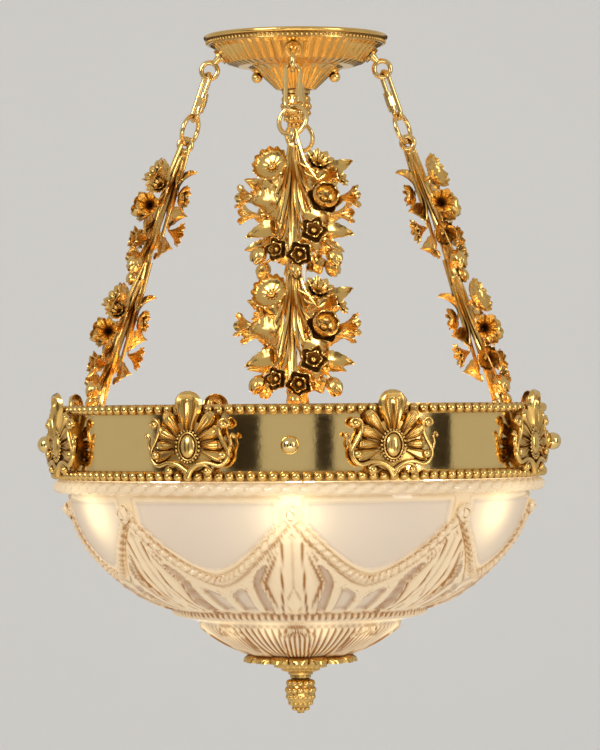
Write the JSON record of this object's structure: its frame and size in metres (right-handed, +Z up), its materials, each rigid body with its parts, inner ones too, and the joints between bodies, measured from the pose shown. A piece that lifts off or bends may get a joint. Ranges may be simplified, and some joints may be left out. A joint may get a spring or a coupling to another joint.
{
  "type": "chandelier",
  "caption": "Ceiling chandelier: fluted canopy, short chains, flower-cast arms, beaded ring with palmettes and studs, and a pressed glass bowl with swags and a pinecone finial.",
  "frame": {"origin": "centre of the ceiling bracket's top face, on the ceiling", "axes": "+Z up out of the ceiling face, -Y towards the front arm, +X to the right"},
  "size_m": [0.5056, 0.5056, 0.6534],
  "materials": {
    "polished_brass": "polished",
    "antique_brass": "antique, dark in the hollows",
    "zinc_steel": "zinc plated",
    "crystal": "pressed, satin panels",
    "bulb_glass": "opal",
    "holder_plastic": "moulded",
    "rubber": "matt",
    "clear_cable": "clear sheath over tinned wires"
  },
  "bodies": {
    "canopy_assembly": {"ceiling_bracket": "zinc_steel", "bracket_screws": "zinc_steel", "canopy": "antique_brass", "canopy_cup": "antique_brass", "canopy_nipple": "zinc_steel", "top_pinecone": "antique_brass", "canopy_eyes": "polished_brass", "power_cord": "clear_cable"},
    "lamp_frame": {"arm_eyes": "polished_brass", "upper_spray_front": "antique_brass", "upper_spray_right": "antique_brass", "upper_spray_back": "antique_brass", "upper_spray_left": "antique_brass", "lower_spray_front": "antique_brass", "lower_spray_right": "antique_brass", "lower_spray_back": "antique_brass", "lower_spray_left": "antique_brass", "arm_feet": "polished_brass", "band_studs": "polished_brass", "ring_band": "polished_brass", "bead_rims": "polished_brass", "palmette_1": "antique_brass", "palmette_2": "antique_brass", "palmette_3": "antique_brass", "palmette_4": "antique_brass", "palmette_5": "antique_brass", "palmette_6": "antique_brass", "palmette_7": "antique_brass", "palmette_8": "antique_brass", "palmette_screws": "zinc_steel", "spider": "zinc_steel", "hub": "zinc_steel", "lamp_arms": "zinc_steel", "lampholders": "holder_plastic", "centre_rod": "zinc_steel", "rod_nuts": "zinc_steel"},
    "bowl_set": {"glass_bowl": "crystal", "bowl_washer": "rubber", "leaf_collar": "antique_brass"},
    "finial": {"finial": "antique_brass"},
    "chain_front": {"quick_link_front": "polished_brass", "round_ring_front": "polished_brass"},
    "sleeve_front": {"link_sleeve_front": "polished_brass"},
    "chain_right": {"quick_link_right": "polished_brass", "round_ring_right": "polished_brass"},
    "sleeve_right": {"link_sleeve_right": "polished_brass"},
    "chain_back": {"quick_link_back": "polished_brass", "round_ring_back": "polished_brass"},
    "sleeve_back": {"link_sleeve_back": "polished_brass"},
    "chain_left": {"quick_link_left": "polished_brass", "round_ring_left": "polished_brass"},
    "sleeve_left": {"link_sleeve_left": "polished_brass"},
    "bulb_1": {"bulb_1": "bulb_glass"},
    "bulb_2": {"bulb_2": "bulb_glass"},
    "bulb_3": {"bulb_3": "bulb_glass"},
    "bulb_4": {"bulb_4": "bulb_glass"},
    "bulb_5": {"bulb_5": "bulb_glass"},
    "bulb_6": {"bulb_6": "bulb_glass"},
    "canopy_nut_left": {"canopy_nut_left": "polished_brass"},
    "canopy_nut_right": {"canopy_nut_right": "polished_brass"}
  },
  "joints": [
    {"name": "frame_twist", "type": "hinge", "parent": "canopy_assembly", "child": "lamp_frame", "pos_m": [0, 0, -0.1], "axis": [0, 0, 1], "range_deg": [-2, 2]},
    {"name": "chain_front_sway", "type": "hinge", "parent": "canopy_assembly", "child": "chain_front", "pos_m": [0, -0.0859, -0.0403], "axis": [0, -1, 0], "range_deg": [-3.6, 3.6]},
    {"name": "sleeve_front_slide", "type": "slide", "parent": "chain_front", "child": "sleeve_front", "axis": [0, 0.319, 0.9478], "range_m": [0, 0.01]},
    {"name": "chain_right_sway", "type": "hinge", "parent": "canopy_assembly", "child": "chain_right", "pos_m": [0.0859, 0, -0.0403], "axis": [1, 0, 0], "range_deg": [-3.6, 3.6]},
    {"name": "sleeve_right_slide", "type": "slide", "parent": "chain_right", "child": "sleeve_right", "axis": [-0.319, 0, 0.9478], "range_m": [0, 0.01]},
    {"name": "chain_back_sway", "type": "hinge", "parent": "canopy_assembly", "child": "chain_back", "pos_m": [0, 0.0859, -0.0403], "axis": [0, 1, 0], "range_deg": [-3.6, 3.6]},
    {"name": "sleeve_back_slide", "type": "slide", "parent": "chain_back", "child": "sleeve_back", "axis": [0, -0.319, 0.9478], "range_m": [0, 0.01]},
    {"name": "chain_left_sway", "type": "hinge", "parent": "canopy_assembly", "child": "chain_left", "pos_m": [-0.0859, 0, -0.0403], "axis": [-1, 0, 0], "range_deg": [-3.6, 3.6]},
    {"name": "sleeve_left_slide", "type": "slide", "parent": "chain_left", "child": "sleeve_left", "axis": [0.319, 0, 0.9478], "range_m": [0, 0.01]},
    {"name": "canopy_nut_left_turn", "type": "hinge", "parent": "canopy_assembly", "child": "canopy_nut_left", "pos_m": [-0.0375, 0, -0.038], "axis": [0, 0, 1], "continuous": true},
    {"name": "canopy_nut_right_turn", "type": "hinge", "parent": "canopy_assembly", "child": "canopy_nut_right", "pos_m": [0.0375, 0, -0.038], "axis": [0, 0, 1], "continuous": true},
    {"name": "bulb_1_turn", "type": "hinge", "parent": "lamp_frame", "child": "bulb_1", "pos_m": [0, -0.15, -0.45], "axis": [0, 0, 1], "continuous": true},
    {"name": "bulb_2_turn", "type": "hinge", "parent": "lamp_frame", "child": "bulb_2", "pos_m": [0.1299, -0.075, -0.45], "axis": [0, 0, 1], "continuous": true},
    {"name": "bulb_3_turn", "type": "hinge", "parent": "lamp_frame", "child": "bulb_3", "pos_m": [0.1299, 0.075, -0.45], "axis": [0, 0, 1], "continuous": true},
    {"name": "bulb_4_turn", "type": "hinge", "parent": "lamp_frame", "child": "bulb_4", "pos_m": [0, 0.15, -0.45], "axis": [0, 0, 1], "continuous": true},
    {"name": "bulb_5_turn", "type": "hinge", "parent": "lamp_frame", "child": "bulb_5", "pos_m": [-0.1299, 0.075, -0.45], "axis": [0, 0, 1], "continuous": true},
    {"name": "bulb_6_turn", "type": "hinge", "parent": "lamp_frame", "child": "bulb_6", "pos_m": [-0.1299, -0.075, -0.45], "axis": [0, 0, 1], "continuous": true},
    {"name": "bowl_lower", "type": "slide", "parent": "lamp_frame", "child": "bowl_set", "axis": [0, 0, 1], "range_m": [-0.22, 0]},
    {"name": "finial_turn", "type": "hinge", "parent": "bowl_set", "child": "finial", "pos_m": [0, 0, -0.63], "axis": [0, 0, 1], "continuous": true}
  ],
  "couplings": [
    {"joint": "chain_front_sway", "follows": "frame_twist", "ratio": 1.6954},
    {"joint": "chain_right_sway", "follows": "frame_twist", "ratio": 1.6954},
    {"joint": "chain_back_sway", "follows": "frame_twist", "ratio": 1.6954},
    {"joint": "chain_left_sway", "follows": "frame_twist", "ratio": 1.6954}
  ]
}
